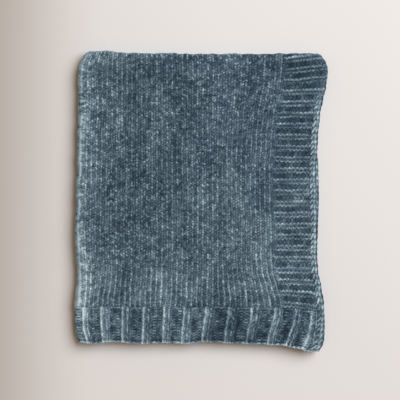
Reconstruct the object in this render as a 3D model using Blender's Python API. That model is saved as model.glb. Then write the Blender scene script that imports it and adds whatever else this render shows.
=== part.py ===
"""Chunky chenille knit throw, folded in quarters and lying flat.

The throw is one knitted piece: a plain body, 2x2 ribbing at both ends, welted side bands and a
slipped selvedge. It is built as a flat slab at its full size, with its ribs and welts raised,
and every point is then carried round two folds, first behind at the top edge and then behind at
the left edge. Its outline is drawn out and in along the four edges as the soft cloth lies.

Metres, +Z up, the origin under the middle of the folded throw.
"""

import math

import bmesh
import bpy

# The flat throw
THROW_WIDTH = 1.27
THROW_LENGTH = 1.524
CLOTH_THICKNESS = 0.008
LAYER_GAP = 0.002

# Ribbing at both ends: pairs of raised and sunken stitch columns
RIB_HEIGHT = 0.095
RIB_COUNT = 24
RIB_DEPTH = 0.0028
RIB_OFFSET = 0.12

# How far the ribs have slid towards the first side edge, at places from the nearer side edge
SLIDE = 1
RIB_SLIDE = (
    (0.000, 0.000),
    (0.037, 0.000),
    (0.078, 0.0115),
    (0.133, 0.0095),
    (0.190, 0.0050),
    (0.245, 0.0030),
    (0.303, -0.0020),
    (0.359, -0.0050),
    (0.465, -0.0050),
    (0.572, -0.0060),
    (0.616, 0.0030),
    (0.635, 0.0000),
)

# Rounds in which the place of a slid rib settles
SLIDE_ROUNDS = 12

# Welts in both side bands: pairs of raised and sunken stitch rows
BAND_WIDTH = 0.112
WELT_COUNT = 46
WELT_DEPTH = 0.0026
SELVEDGE_WIDTH = 0.018

# The hollows run out over this length where ribbing and bands meet the body
RELIEF_FADE = 0.008
ZIP_WIDTH = 0.011

# The rims, where the yarn rounds over
RIM_WIDTH = 0.008
RIM_THINNING = 0.25

# Places within one rib or welt where its grid has points: both sides of the top, the hollow
TOP_START, TOP_END, HOLLOW = 0.16, 0.54, 0.85

# Half turns at the two folds, measured to the middle of what is folded
TOP_FOLD_RADIUS = (CLOTH_THICKNESS + LAYER_GAP) / 2
SIDE_FOLD_RADIUS = CLOTH_THICKNESS + LAYER_GAP
TOP_FOLD_STEPS = 6
SIDE_FOLD_STEPS = 8

# The body's even cells, and its closer points on the way into each fold
BODY_CELL = 0.064
TOP_FOLD_LEAD = (0.020, 0.009)
SIDE_FOLD_LEAD = (0.020,)

TOP_FLAT = (THROW_LENGTH - math.pi * TOP_FOLD_RADIUS) / 2
SIDE_FLAT = (THROW_WIDTH - math.pi * SIDE_FOLD_RADIUS) / 2
FOLDED_LENGTH = TOP_FLAT + TOP_FOLD_RADIUS + CLOTH_THICKNESS / 2
FOLDED_WIDTH = SIDE_FLAT + SIDE_FOLD_RADIUS + TOP_FOLD_RADIUS + CLOTH_THICKNESS / 2
STACK_HEIGHT = 2 * SIDE_FOLD_RADIUS + 2 * TOP_FOLD_RADIUS + CLOTH_THICKNESS

# How far the left fold and the right edges of the upper and lower pairs of layers lie outside
# the plain rectangle, at heights above the bottom edge
LEFT_FOLD, UPPER_RIGHT, LOWER_RIGHT = 1, 2, 3
SIDE_EDGES = (
    (0.000, 0.008, 0.005, 0.010),
    (0.063, 0.008, 0.006, 0.0145),
    (0.118, 0.005, 0.004, 0.0125),
    (0.150, 0.000, -0.002, 0.006),
    (0.189, -0.001, -0.009, -0.003),
    (0.228, 0.002, -0.008, -0.0045),
    (0.291, 0.004, -0.007, -0.0010),
    (0.385, 0.0015, -0.006, 0.001),
    (0.454, -0.0005, -0.005, -0.001),
    (0.540, -0.001, -0.0045, -0.008),
    (0.598, -0.0035, 0.0015, -0.003),
    (0.638, -0.004, 0.0105, 0.005),
    (0.669, -0.004, 0.017, 0.012),
    (0.709, -0.0025, 0.0215, 0.018),
    (0.763, -0.002, 0.023, 0.019),
)

# How far the top fold and the bottom edge lie outside the rectangle, and how far the foot of the
# ribs leans to the right, at distances from the left edge
TOP_FOLD, BOTTOM_EDGE, RIB_LEAN = 1, 2, 3
END_EDGES = (
    (0.000, 0.000, -0.002, 0.003),
    (0.045, 0.003, 0.001, 0.005),
    (0.084, 0.0035, -0.004, 0.003),
    (0.120, -0.001, -0.003, 0.000),
    (0.163, -0.001, 0.001, -0.002),
    (0.242, -0.001, -0.0015, -0.004),
    (0.299, -0.0025, 0.001, -0.007),
    (0.344, -0.002, -0.004, -0.009),
    (0.423, -0.002, 0.000, -0.009),
    (0.478, -0.002, 0.0025, -0.013),
    (0.549, -0.001, 0.005, -0.021),
    (0.596, -0.001, 0.013, -0.018),
    (0.620, -0.001, 0.021, -0.010),
    (0.640, -0.001, 0.020, 0.000),
)

# How far into the throw the shifts of each edge and the rounding of the corners are felt
LEFT_REACH = 0.20
RIGHT_REACH = 0.30
TOP_REACH = 0.15
BOTTOM_REACH = 0.22
CORNER_REACH = 0.12

# How far in each of the four corners is drawn, and over what height
CORNER_TOP_LEFT = (0.024, 0.060)
CORNER_TOP_RIGHT = (0.028, 0.050)
CORNER_BOTTOM_LEFT = (0.009, 0.045)
CORNER_BOTTOM_RIGHT = (0.012, 0.031)

# Soft swells of the upper surface: from the left edge, above the bottom edge, radius, height
SWELLS = (
    (0.030, 0.380, 0.110, 0.0020),
    (0.060, 0.090, 0.090, 0.0025),
    (0.180, 0.620, 0.120, -0.0015),
    (0.260, 0.300, 0.140, 0.0015),
    (0.330, 0.540, 0.110, -0.0010),
    (0.420, 0.160, 0.120, -0.0015),
    (0.480, 0.420, 0.110, 0.0015),
    (0.600, 0.700, 0.080, 0.0030),
    (0.610, 0.060, 0.080, 0.0030),
)

KNIT_COLOUR = (0.085, 0.125, 0.155, 1.0)
KNIT_ROUGHNESS = 0.9


def clear_scene():
    for existing in list(bpy.data.objects):
        bpy.data.objects.remove(existing, do_unlink=True)


def smooth_step(value, start, end):
    share = min(max((value - start) / (end - start), 0.0), 1.0)
    return share * share * (3.0 - 2.0 * share)


def nearness(distance, full, gone):
    """1 up to the distance called full, easing to 0 at the distance called gone."""
    return 1.0 - smooth_step(distance, full, gone)


def table_value(table, place, column):
    """Read one column of a table between its rows, which stand in order of their first column."""
    if place <= table[0][0]:
        return table[0][column]
    for low, high in zip(table, table[1:]):
        if place <= high[0]:
            share = smooth_step(place, low[0], high[0])
            return low[column] + share * (high[column] - low[column])
    return table[-1][column]


def ridge(phase):
    """One raised and one sunken stretch in each whole step of phase: 1 on top, 0 below."""
    place = phase % 1.0
    return smooth_step(place, 0.0, TOP_START) - smooth_step(place, TOP_END, TOP_END + TOP_START)


def even_steps(start, end, count):
    return [start + (end - start) * step / count for step in range(count + 1)]


def merged(*lists, closest=0.0025):
    """Join lists of places, dropping those nearer than closest to one of an earlier list."""
    kept = []
    for places in lists:
        kept += [place for place in places if all(abs(place - other) > closest for other in kept)]
    return sorted(kept)


def wave_places(start, end, count, offset):
    """Three points to each of count ribs or welts between start and end."""
    period = (end - start) / count
    places = [start + (wave + share + offset) * period
              for wave in range(-1, count) for share in (TOP_START, TOP_END, HOLLOW)]
    return [place for place in places if start < place < end]


def rib_slide(across):
    return table_value(RIB_SLIDE, min(across, THROW_WIDTH - across), SLIDE)


def slid_back(place):
    """Where an evenly spaced place of the ribbing lies once the ribs have slid."""
    across = place
    for _ in range(SLIDE_ROUNDS):
        across = place - rib_slide(across)
    return across


def rib_columns():
    """Places across the throw where the ribs have points, with the steps of the side fold."""
    fold = even_steps(SIDE_FLAT, THROW_WIDTH - SIDE_FLAT, SIDE_FOLD_STEPS)
    ribs = [slid_back(place) for place in wave_places(0.0, THROW_WIDTH, RIB_COUNT, RIB_OFFSET)]
    return merged([0.0, THROW_WIDTH], fold, ribs)


def welt_rows():
    """Places along the throw where the welts have points, with the steps of the top fold."""
    ends = [RIB_HEIGHT, THROW_LENGTH - RIB_HEIGHT]
    fold = even_steps(TOP_FLAT, THROW_LENGTH - TOP_FLAT, TOP_FOLD_STEPS)
    return merged(ends, fold, wave_places(*ends, WELT_COUNT, 0.0))


def body_places(first, length, flat, fold_steps, near_fold):
    """Even cells from the body's edge to the fold, the fold's own steps, and the same beyond."""
    cells = even_steps(first, flat - near_fold[0], round((flat - first) / BODY_CELL))
    places = cells + [flat - reach for reach in near_fold[1:]]
    fold = even_steps(flat, length - flat, fold_steps)
    return places + fold + [length - place for place in reversed(places)]


class FlatSheet:
    """The open flat surface of the throw, made of grids that share their edge points."""

    def __init__(self):
        self.mesh = bmesh.new()
        self.points = {}

    def point(self, across, along):
        key = (round(across, 6), round(along, 6))
        if key not in self.points:
            self.points[key] = self.mesh.verts.new((across, along, 0.0))
        return self.points[key]

    def face(self, *places):
        self.mesh.faces.new([self.point(*place) for place in places])

    def grid(self, columns, rows):
        for left, right in zip(columns, columns[1:]):
            for low, high in zip(rows, rows[1:]):
                self.face((left, low), (right, low), (right, high), (left, high))

    def zip_rows(self, low_columns, low, high_columns, high):
        """Triangles between two rows whose points stand at different places."""
        bottom, top = 0, 0
        while bottom < len(low_columns) - 1 or top < len(high_columns) - 1:
            next_bottom = low_columns[min(bottom + 1, len(low_columns) - 1)]
            next_top = high_columns[min(top + 1, len(high_columns) - 1)]
            step_bottom = top == len(high_columns) - 1 or (
                bottom < len(low_columns) - 1 and next_bottom <= next_top)
            if step_bottom:
                self.face((low_columns[bottom], low), (next_bottom, low), (high_columns[top], high))
                bottom += 1
            else:
                self.face((low_columns[bottom], low), (next_top, high), (high_columns[top], high))
                top += 1

    def zip_columns(self, left_rows, left, right_rows, right):
        """Triangles between two columns whose points stand at different places."""
        first, second = 0, 0
        while first < len(left_rows) - 1 or second < len(right_rows) - 1:
            next_first = left_rows[min(first + 1, len(left_rows) - 1)]
            next_second = right_rows[min(second + 1, len(right_rows) - 1)]
            step_first = second == len(right_rows) - 1 or (
                first < len(left_rows) - 1 and next_first <= next_second)
            if step_first:
                self.face((left, left_rows[first]), (right, right_rows[second]), (left, next_first))
                first += 1
            else:
                self.face((left, left_rows[first]), (right, right_rows[second]),
                          (right, next_second))
                second += 1


def flat_throw():
    """The flat slab: fine grids in the ribbing and the bands, a coarse one in the body."""
    body_side = BAND_WIDTH + ZIP_WIDTH
    columns = body_places(body_side, THROW_WIDTH, SIDE_FLAT, SIDE_FOLD_STEPS, SIDE_FOLD_LEAD)
    rows = body_places(RIB_HEIGHT, THROW_LENGTH, TOP_FLAT, TOP_FOLD_STEPS, TOP_FOLD_LEAD)
    band_columns = [0.0, SELVEDGE_WIDTH, BAND_WIDTH - RELIEF_FADE, BAND_WIDTH]
    far_columns = [THROW_WIDTH - place for place in reversed(band_columns)]
    rib_top = RIB_HEIGHT - ZIP_WIDTH
    end_rows = [0.0, RIM_WIDTH, 3 * RIM_WIDTH, rib_top - RELIEF_FADE, rib_top]
    far_rows = [THROW_LENGTH - place for place in reversed(end_rows)]
    fine_columns = rib_columns()
    fine_rows = welt_rows()
    all_columns = band_columns + columns + far_columns

    sheet = FlatSheet()
    sheet.grid(fine_columns, end_rows)
    sheet.zip_rows(fine_columns, rib_top, all_columns, RIB_HEIGHT)
    sheet.grid(band_columns, fine_rows)
    sheet.zip_columns(fine_rows, BAND_WIDTH, rows, body_side)
    sheet.grid(columns, rows)
    sheet.zip_columns(rows, THROW_WIDTH - body_side, fine_rows, THROW_WIDTH - BAND_WIDTH)
    sheet.grid(far_columns, fine_rows)
    sheet.zip_rows(all_columns, THROW_LENGTH - RIB_HEIGHT, fine_columns, far_rows[0])
    sheet.grid(fine_columns, far_rows)

    slab = sheet.mesh
    slab.normal_update()
    bmesh.ops.solidify(slab, geom=slab.faces[:], thickness=CLOTH_THICKNESS)
    middle = sum(vertex.co.z for vertex in slab.verts) / len(slab.verts)
    for vertex in slab.verts:
        vertex.co.z -= middle
    return slab


def sunken(across, along, front):
    """Depth of the ribbing's and the welts' hollows under one face of the flat throw."""
    from_end = min(along, THROW_LENGTH - along)
    from_side = min(across, THROW_WIDTH - across)
    if from_end < RIB_HEIGHT:
        rib_top = RIB_HEIGHT - ZIP_WIDTH
        raised = ridge((across + rib_slide(across)) * RIB_COUNT / THROW_WIDTH - RIB_OFFSET)
        depth = RIB_DEPTH * nearness(from_end, rib_top - RELIEF_FADE, rib_top)
    elif from_side < BAND_WIDTH:
        raised = ridge((along - RIB_HEIGHT) * WELT_COUNT / (THROW_LENGTH - 2 * RIB_HEIGHT))
        depth = WELT_DEPTH * smooth_step(from_side, 0.0, SELVEDGE_WIDTH)
        depth *= nearness(from_side, BAND_WIDTH - RELIEF_FADE, BAND_WIDTH)
    else:
        return 0.0
    return depth * (1.0 - raised if front else raised)


def fold_behind(along, height, flat, radius):
    """Carry a point round a half turn that starts at flat: along its layer, and its height."""
    if along <= flat:
        return along, height
    angle = (along - flat) / radius
    if angle <= math.pi:
        return (flat + (radius + height) * math.sin(angle),
                (radius + height) * math.cos(angle) - radius)
    return 2 * flat + math.pi * radius - along, -2 * radius - height


def corner_inset(from_end, corner):
    """How far a soft corner stands inside a square one, at a distance from the end edge."""
    inset, height = corner
    return inset * max(1.0 - from_end / height, 0.0) ** 2


def lay_down(from_left, above_bottom, level):
    """Draw a point of the plain folded stack out or in with the outline, and swell the top."""
    from_right = FOLDED_WIDTH - from_left
    from_top = FOLDED_LENGTH - above_bottom
    upper_pair = level > STACK_HEIGHT / 2

    x = from_left
    x -= table_value(SIDE_EDGES, above_bottom, LEFT_FOLD) * nearness(from_left, 0.0, LEFT_REACH)
    x += (table_value(SIDE_EDGES, above_bottom, UPPER_RIGHT if upper_pair else LOWER_RIGHT)
          * nearness(from_right, BAND_WIDTH, RIGHT_REACH))
    x += table_value(END_EDGES, from_left, RIB_LEAN) * nearness(above_bottom, 0.0, RIB_HEIGHT)
    x += nearness(from_left, 0.0, CORNER_REACH) * (
        corner_inset(from_top, CORNER_TOP_LEFT) + corner_inset(above_bottom, CORNER_BOTTOM_LEFT))
    x -= nearness(from_right, 0.0, CORNER_REACH) * (
        corner_inset(from_top, CORNER_TOP_RIGHT) + corner_inset(above_bottom, CORNER_BOTTOM_RIGHT))

    y = above_bottom
    y += table_value(END_EDGES, from_left, TOP_FOLD) * nearness(from_top, 0.0, TOP_REACH)
    y -= table_value(END_EDGES, from_left, BOTTOM_EDGE) * nearness(above_bottom, 0.0, BOTTOM_REACH)

    swell = sum(height * math.exp(-math.dist((from_left, above_bottom), middle) ** 2 / radius ** 2)
                for *middle, radius, height in SWELLS)
    return x, y, level * (1.0 + swell / STACK_HEIGHT)


def fold_throw(slab):
    """Raise the ribs, thin the rims and carry every point of the slab round the two folds."""
    for vertex in slab.verts:
        across, along, side = vertex.co
        front = side > 0.0
        rim = min(across, along, THROW_WIDTH - across, THROW_LENGTH - along)
        thinning = RIM_THINNING * nearness(rim, 0.0, RIM_WIDTH)
        half = CLOTH_THICKNESS / 2
        height = min(half * (1.0 - thinning), half - sunken(across, along, front))
        height = height if front else -height
        above_bottom, height = fold_behind(along, height, TOP_FLAT, TOP_FOLD_RADIUS)
        height += TOP_FOLD_RADIUS
        from_right, height = fold_behind(across, height, SIDE_FLAT, SIDE_FOLD_RADIUS)
        level = height + STACK_HEIGHT - TOP_FOLD_RADIUS - CLOTH_THICKNESS / 2
        vertex.co = lay_down(FOLDED_WIDTH - from_right, above_bottom, level)


def centre_on_floor(slab):
    """Move the throw so that the origin lies under the middle of its box, on the floor."""
    middle = []
    for axis in range(2):
        places = [vertex.co[axis] for vertex in slab.verts]
        middle.append((min(places) + max(places)) / 2)
    for vertex in slab.verts:
        vertex.co.x -= middle[0]
        vertex.co.y -= middle[1]


def knit_material():
    material = bpy.data.materials.new("chenille_knit")
    material.use_nodes = True
    shader = material.node_tree.nodes["Principled BSDF"]
    shader.inputs["Base Color"].default_value = KNIT_COLOUR
    shader.inputs["Roughness"].default_value = KNIT_ROUGHNESS
    shader.inputs["Metallic"].default_value = 0.0
    return material


def build_throw(collection):
    slab = flat_throw()
    fold_throw(slab)
    centre_on_floor(slab)
    bmesh.ops.reverse_faces(slab, faces=slab.faces[:])
    mesh = bpy.data.meshes.new("knit_throw")
    slab.to_mesh(mesh)
    slab.free()
    mesh.shade_smooth()
    mesh.set_sharp_from_angle(angle=math.radians(50))
    mesh.materials.append(knit_material())
    throw = bpy.data.objects.new("knit_throw", mesh)
    collection.objects.link(throw)


def main():
    clear_scene()
    collection = bpy.data.collections.new("folded_knit_throw")
    bpy.context.scene.collection.children.link(collection)
    build_throw(collection)


main()
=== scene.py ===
import math

import bpy
import numpy as np
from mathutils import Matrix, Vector


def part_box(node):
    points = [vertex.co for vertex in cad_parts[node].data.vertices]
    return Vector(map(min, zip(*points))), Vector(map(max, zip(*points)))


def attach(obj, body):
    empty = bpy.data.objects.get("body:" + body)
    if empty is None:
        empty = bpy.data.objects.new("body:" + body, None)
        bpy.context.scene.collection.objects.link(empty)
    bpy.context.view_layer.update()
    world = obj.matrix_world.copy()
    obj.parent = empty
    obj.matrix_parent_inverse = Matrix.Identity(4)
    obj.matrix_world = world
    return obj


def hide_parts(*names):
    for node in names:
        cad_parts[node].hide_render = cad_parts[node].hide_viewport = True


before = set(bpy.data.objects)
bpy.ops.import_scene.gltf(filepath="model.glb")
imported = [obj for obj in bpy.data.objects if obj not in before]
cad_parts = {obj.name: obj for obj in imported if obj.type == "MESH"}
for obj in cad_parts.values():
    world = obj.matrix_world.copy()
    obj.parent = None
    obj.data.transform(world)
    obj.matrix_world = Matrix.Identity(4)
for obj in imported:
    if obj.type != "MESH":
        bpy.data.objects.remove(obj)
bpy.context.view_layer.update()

print("stage: frame loaded")

# The folded throw, in metres, in the sizes of its solid: one cloth, half of it folded behind at
# the top and then half of that behind at the left.
throw = {
    "width": 1.27,
    "length": 1.524,
    "thickness": 0.008,
    "layerGap": 0.002,
    "ribHeight": 0.095,
    "bandWidth": 0.112,
    "rimWidth": 0.006,         # how wide the rounding of the free edges is
    "rimShare": 0.15,          # share of the thickness left at the very edge
    "backRelief": 0.0012,      # how far the plain back of a layer lies inside its full thickness
}

# How far the left fold and the right edges of the upper and lower pairs of layers lie outside
# the plain rectangle, at heights above the bottom edge.
heightAbove, leftFold, upperRight, lowerRight = range(4)
sideEdges = np.array((
    (0.000, 0.008, 0.0085, 0.0075),
    (0.063, 0.008, 0.0108, 0.0095),
    (0.118, 0.005, 0.0088, 0.0078),
    (0.150, 0.000, 0.0025, 0.0015),
    (0.189, -0.001, -0.006, -0.0075),
    (0.228, 0.002, -0.0085, -0.0095),
    (0.291, 0.004, -0.0078, -0.0050),
    (0.385, 0.0015, -0.0110, -0.0025),
    (0.454, -0.0005, -0.0115, -0.0038),
    (0.540, -0.001, -0.0065, -0.010),
    (0.598, -0.0035, -0.001, -0.0055),
    (0.638, -0.004, 0.007, 0.0035),
    (0.669, -0.004, 0.0145, 0.0105),
    (0.709, -0.0025, 0.019, 0.0155),
    (0.763, -0.002, 0.0215, 0.0175),
))

# How far the top fold and the bottom edge lie outside the rectangle, and how far the foot of the
# ribs leans to the right, at distances from the left edge.
fromLeftEdge, topFold, bottomEdge, ribLean = range(4)
endEdges = np.array((
    (0.000, 0.000, -0.002, 0.003),
    (0.045, 0.003, 0.001, 0.005),
    (0.084, 0.0035, -0.004, 0.003),
    (0.120, -0.002, -0.003, 0.000),
    (0.163, -0.003, 0.001, -0.002),
    (0.242, -0.003, -0.0015, -0.004),
    (0.299, -0.0055, 0.001, -0.007),
    (0.344, -0.005, -0.004, -0.009),
    (0.423, -0.005, 0.000, -0.009),
    (0.478, -0.0045, 0.0025, -0.013),
    (0.549, -0.0035, 0.005, -0.021),
    (0.596, -0.003, 0.013, -0.018),
    (0.620, -0.003, 0.021, -0.010),
    (0.640, -0.003, 0.020, 0.000),
))
# How far into the cloth each edge's pull is felt.
reach = {"left": 0.20, "right": 0.30, "top": 0.15, "bottom": 0.22, "corner": 0.12}

# Small ripples of the two folds, and the metres between their swells.
ripple = {"height": 0.0014, "alongTop": 0.017, "alongSide": 0.020, "upWall": 0.03, "reach": 0.05}

# How far in each corner is drawn, and over what height.
cornerSizes = {
    "topLeft": (0.024, 0.060),
    "topRight": (0.028, 0.050),
    "bottomLeft": (0.009, 0.045),
    "bottomRight": (0.012, 0.031),
}

# Soft swells and troughs of the upper surface: from the left edge, above the bottom edge,
# half width, half height, turn in degrees, and how far it stands up.
swells = (
    (0.030, 0.380, 0.110, 0.110, 0, 0.0020),
    (0.060, 0.090, 0.090, 0.090, 0, 0.0025),
    (0.180, 0.620, 0.120, 0.120, 0, -0.0015),
    (0.260, 0.300, 0.140, 0.140, 0, 0.0015),
    (0.330, 0.540, 0.110, 0.110, 0, -0.0010),
    (0.420, 0.160, 0.120, 0.120, 0, -0.0015),
    (0.480, 0.420, 0.110, 0.110, 0, 0.0015),
    (0.600, 0.700, 0.080, 0.080, 0, 0.0030),
    (0.610, 0.060, 0.080, 0.080, 0, 0.0030),
)

topRadius = (throw["thickness"] + throw["layerGap"]) / 2
sideRadius = throw["thickness"] + throw["layerGap"]
topFlat = (throw["length"] - math.pi * topRadius) / 2
sideFlat = (throw["width"] - math.pi * sideRadius) / 2
foldedLength = topFlat + topRadius + throw["thickness"] / 2
foldedWidth = sideFlat + sideRadius + topRadius + throw["thickness"] / 2
stackHeight = 2 * sideRadius + 2 * topRadius + throw["thickness"]
halfWidth, halfLength = throw["width"] / 2, throw["length"] / 2


def ease(value, start, end):
    # 0 before start, 1 after end, and 3s^2 - 2s^3 of the share s between them
    share = np.clip((value - start) / (end - start), 0.0, 1.0)
    return share * share * (3.0 - 2.0 * share)


def near(distance, full, gone):
    # 1 up to full and 0 from gone on, eased between them
    return 1.0 - ease(distance, full, gone)


def readTable(table, place, column):
    # between two rows the value eases from one to the next
    row = np.clip(np.searchsorted(table[:, 0], place) - 1, 0, len(table) - 2)
    low, high = table[row], table[row + 1]
    share = ease(place, low[..., 0], high[..., 0])
    return low[..., column] + share * (high[..., column] - low[..., column])


def hill(x, y, spot):
    # a turned Gaussian of its own half width and half height
    left, up, wide, tall, turn, height = spot
    c, s = math.cos(math.radians(turn)), math.sin(math.radians(turn))
    a, b = (x - left) * c + (y - up) * s, (y - up) * c - (x - left) * s
    return height * np.exp(-(a / wide) ** 2 - (b / tall) ** 2)


def softNoise(u, v, seed):
    # random values on whole numbers of u and v, eased between them; from -1 to 1
    lattice = np.random.default_rng(seed).uniform(-1.0, 1.0, (256, 256))
    i, j = np.floor(u).astype(int), np.floor(v).astype(int)
    s, t = ease(u - i, 0.0, 1.0), ease(v - j, 0.0, 1.0)
    i, j = i % 256, j % 256
    k, m = (i + 1) % 256, (j + 1) % 256
    return ((lattice[i, j] * (1 - s) + lattice[k, j] * s) * (1 - t)
            + (lattice[i, m] * (1 - s) + lattice[k, m] * s) * t)


def picked(i, j, seed):
    # one random value from 0 to 1 for each pair of whole numbers
    lattice = np.random.default_rng(seed).random((512, 512))
    return lattice[i.astype(int) % 512, j.astype(int) % 512]


def foldBehind(along, height, flat, radius):
    # straight up to flat, then a half turn of the radius, then straight back underneath
    angle = np.clip((along - flat) / radius, 0.0, math.pi)
    turned = flat + (radius + height) * np.sin(angle)
    back = 2 * flat + math.pi * radius - along
    place = np.where(along <= flat, along, np.where(angle < math.pi, turned, back))
    level = (radius + height) * np.cos(angle) - radius
    return place, level


def cornerInset(fromEnd, name):
    # the inset falls off as the square of the height left to go
    inset, height = cornerSizes[name]
    return inset * np.clip(1.0 - fromEnd / height, 0.0, 1.0) ** 2


def layDown(fromLeft, above, level):
    # the plain folded stack, drawn out or in with the outline by an amount that fades inwards, and
    # its heights stretched by the swells
    fromRight = foldedWidth - fromLeft
    fromTop = foldedLength - above
    right = np.where(level > stackHeight / 2, readTable(sideEdges, above, upperRight),
                     readTable(sideEdges, above, lowerRight))
    x = fromLeft - readTable(sideEdges, above, leftFold) * near(fromLeft, 0.0, reach["left"])
    x = x + right * near(fromRight, throw["bandWidth"], reach["right"])
    x = x + readTable(endEdges, fromLeft, ribLean) * near(above, 0.0, throw["ribHeight"])
    x = x + near(fromLeft, 0.0, reach["corner"]) * (
        cornerInset(fromTop, "topLeft") + cornerInset(above, "bottomLeft"))
    x = x - near(fromRight, 0.0, reach["corner"]) * (
        cornerInset(fromTop, "topRight") + cornerInset(above, "bottomRight"))
    y = above + readTable(endEdges, fromLeft, topFold) * near(fromTop, 0.0, reach["top"])
    y = y - readTable(endEdges, fromLeft, bottomEdge) * near(above, 0.0, reach["bottom"])
    wall = level / ripple["upWall"]
    topRipple = ripple["height"] * softNoise(fromLeft / ripple["alongTop"], wall, 71)
    sideRipple = ripple["height"] * softNoise(wall, above / ripple["alongSide"], 72)
    y = y + topRipple * near(fromTop, 0.0, ripple["reach"])
    x = x + sideRipple * near(fromLeft, 0.0, ripple["reach"])
    swell = sum(hill(fromLeft, above, spot) for spot in swells)
    return np.stack((x, y, level * (1.0 + swell / stackHeight)), axis=-1)


def folded(across, along, height):
    # a point of the flat throw, at a height off its middle, carried round both folds
    above, level = foldBehind(along, height, topFlat, topRadius)
    fromRight, level = foldBehind(across, level + topRadius, sideFlat, sideRadius)
    level = level + stackHeight - topRadius - throw["thickness"] / 2
    return layDown(foldedWidth - fromRight, above, level)


# The stitches. A body stitch is one wale wide and one course high.
stitch = {
    "bodyWales": 79,           # stitch columns between the two side bands
    "bodyCourses": 184,        # rows between the two ribbings
    "ribCourses": 13,
    "bandWales": 9,            # columns of a side band, beside its selvedge
    "welts": 46,
    "selvedge": 0.0180,
    "tuftLight": 0.61,         # how much lighter the fullest tufts of pile are
    "relief": 0.0030,          # depth of the gaps between the legs
    "edgeBulge": 0.0010,       # how far the loops at the free edges bulge
    "bulgeReach": 0.008,
}
wale = (throw["width"] - 2 * throw["bandWidth"]) / stitch["bodyWales"]
course = (throw["length"] - 2 * throw["ribHeight"]) / stitch["bodyCourses"]
bandWale = (throw["bandWidth"] - stitch["selvedge"]) / stitch["bandWales"]
ribPeriod = 4 * wale
welt = (throw["length"] - 2 * throw["ribHeight"]) / stitch["welts"]
ribCourse = throw["ribHeight"] / stitch["ribCourses"]
link = 2 * course

# One leg of a V stitch, in shares of its half wale and of its course.
leg = {
    "slant": 1.25,             # courses that it climbs across its half wale
    "width": 0.62,
    "middle": 0.48,
    "length": 0.56,
    "lowest": 0.45,            # height where it dips under the next leg
    "tuftWidth": 0.46,
    "dullest": 0.04,           # lightness of the thinnest tuft
    "contrast": 1.15,
    "leftLegPaintedLight": 1.10,          # painted light: the left legs lighter than the right ones
    "rightLegPaintedLight": 0.84,
}


def legs(x, y, seed, tuftSlant, tuftLength):
    # A plait: each half wale is a column of slanting legs, mirrored from one half to the next.
    # Across the column a leg is a round back, along it a low dome, and a tuft of pile on it
    # catches the light. x counts wales and y courses. Gives height, 0 to 1, and lightness.
    column = np.floor(2 * x)
    leftLeg = column % 2 == 1
    m = 2 * x - column
    m = np.where(leftLeg, 1.0 - m, m)
    slanted = y + leg["slant"] * (m - 0.5)
    f = slanted - np.floor(slanted)
    lying = y + 0.5 * leftLeg + tuftSlant * (m - 0.5)
    row = np.floor(lying)
    back = np.sqrt(np.maximum(1.0 - ((m - 0.5) / leg["width"]) ** 2, 0.0))
    dome = np.sqrt(np.maximum(1.0 - ((f - leg["middle"]) / leg["length"]) ** 2, 0.0))
    own, aside, ahead = (picked(column, row, seed + i) for i in range(3))
    aside, ahead = m - 0.36 - 0.28 * aside, lying - row - 0.32 - 0.36 * ahead
    tuft = np.exp(-(aside / leg["tuftWidth"]) ** 2 - (ahead / tuftLength) ** 2)
    light = leg["dullest"] + (1.0 - leg["dullest"]) * own ** leg["contrast"]
    # painted light: the left legs' tufts lighter, the right legs' tufts darker
    light = light * tuft * np.where(leftLeg, leg["leftLegPaintedLight"], leg["rightLegPaintedLight"])
    return back * (leg["lowest"] + (1.0 - leg["lowest"]) * dome), light


# One purl bump, in shares of a wale and of a course.
purlBump = {
    "halfWidth": 0.60,
    "halfHeight": 0.40,
    "curve": 0.10,
    "lower": 0.8,              # height of the bumps between the full ones
}


def bumps(x, y, seed):
    # Staggered rows of short cross-wise domes, the back of the V stitches.
    height, light = np.zeros_like(x), np.zeros_like(x)
    for stagger, level in ((0.0, 1.0), (0.5, purlBump["lower"])):
        column, row = np.floor(x + stagger), np.floor(y + stagger)
        dx = (x + stagger - column - 0.5) / purlBump["halfWidth"]
        dy = (y + stagger - row - 0.5 + purlBump["curve"] * dx * dx) / purlBump["halfHeight"]
        dome = level * np.sqrt(np.maximum(1.0 - dx * dx - dy * dy, 0.0))
        wins = dome > height
        height = np.where(wins, dome, height)
        own = picked(column, row * 2 + stagger * 2, seed)
        light = np.where(wins, (0.15 + 0.85 * own ** 1.6) * dome ** 2, light)
    return height, light


def columnStreaks(x, along, seed):
    # every column of legs runs lighter and darker by itself
    column = np.floor(2 * x)
    return softNoise(column, along / 0.045, seed) + 0.6 * softNoise(column, along / 0.16, seed + 1)


def lyingLeft(x):
    # 1 on the left legs of the V stitches and -1 on the right ones, rounded at the gaps
    return -np.sin(2 * math.pi * x)


def wholeTufts(x, y, seed):
    # here and there the pile of a whole stitch stands up in one round tuft
    i, j = np.floor(x), np.floor(y)
    own = picked(i, j, seed)
    return own ** 3 * np.exp(-((x - i - 0.5) / 0.36) ** 2 - ((y - j - 0.5) / 0.50) ** 2)


# The body. Here and below, lightnesses are shares of the yarn's whole range of tones.
body = {
    "swayAcross": 0.10,        # wales that the stitch columns wander
    "swayAlong": 0.22,         # courses that the rows wander
    "tuftSlant": 0.55,
    "tuftLength": 0.42,
    "pulledEnd": 0.8,          # how much the ribbing draws the stitches into lines
    "pulledSide": 0.25,
    "pulledAll": 0.15,
    "pulledChange": 0.40,
    "shallow": 0.75,           # share of the relief that is left where nothing pulls
    "meanTuft": 0.33,
    "duller": 0.40,            # share of the tufts' lightness that the pull takes
    "streaks": 0.040,
    "pulledStreaks": 0.02,
    # painted light on the left legs of pulled stitches
    "lines": 0.12,
    "wholeTufts": 0.34,
    "meanWholeTuft": 0.09,
    "rows": 0.05,
}


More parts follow.
